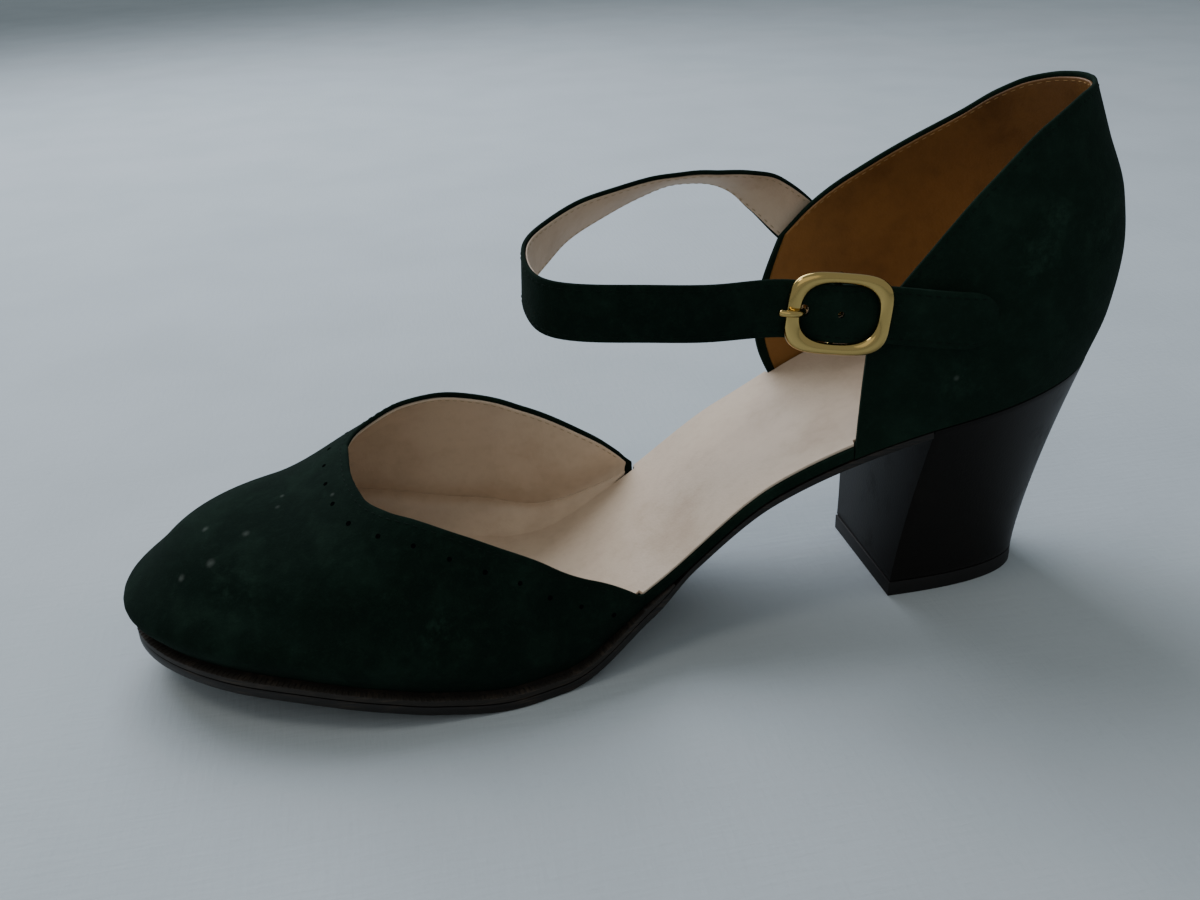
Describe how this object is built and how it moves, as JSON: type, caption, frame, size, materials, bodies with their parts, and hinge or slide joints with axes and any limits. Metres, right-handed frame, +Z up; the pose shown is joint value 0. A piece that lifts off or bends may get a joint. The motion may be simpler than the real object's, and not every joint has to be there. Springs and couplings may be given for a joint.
{
  "type": "ankle strap heel",
  "caption": "Left low-cut shoe with separate vamp and quarter, open waist, buckled ankle strap, welted leather sole and covered block heel.",
  "frame": {"origin": "centre of the heel's base, on the floor", "axes": "+X towards the toe, +Y to the shoe's left, its outer side, +Z up"},
  "size_m": [0.2439, 0.0819, 0.1235],
  "materials": {
    "suede": "bottle green suede with a short brushed nap",
    "sock_leather": "smooth pinkish beige lining leather",
    "sole_leather": "dark brown stained sole leather",
    "welt_leather": "brown welt leather with fine wheel marks",
    "heel_cover": "very dark brown smooth heel cover leather",
    "heel_rubber": "black heel top piece rubber",
    "gilt": "polished gilt brass"
  },
  "bodies": {
    "root": {"insole": "sock_leather", "vamp": "suede", "quarter": "suede", "outsole": "sole_leather", "welt": "welt_leather", "heel_block": "heel_cover", "heel_top_piece": "heel_rubber", "ankle_strap": "suede", "buckle_tab": "suede", "buckle": "gilt", "buckle_prong": "gilt"}
  },
  "joints": []
}
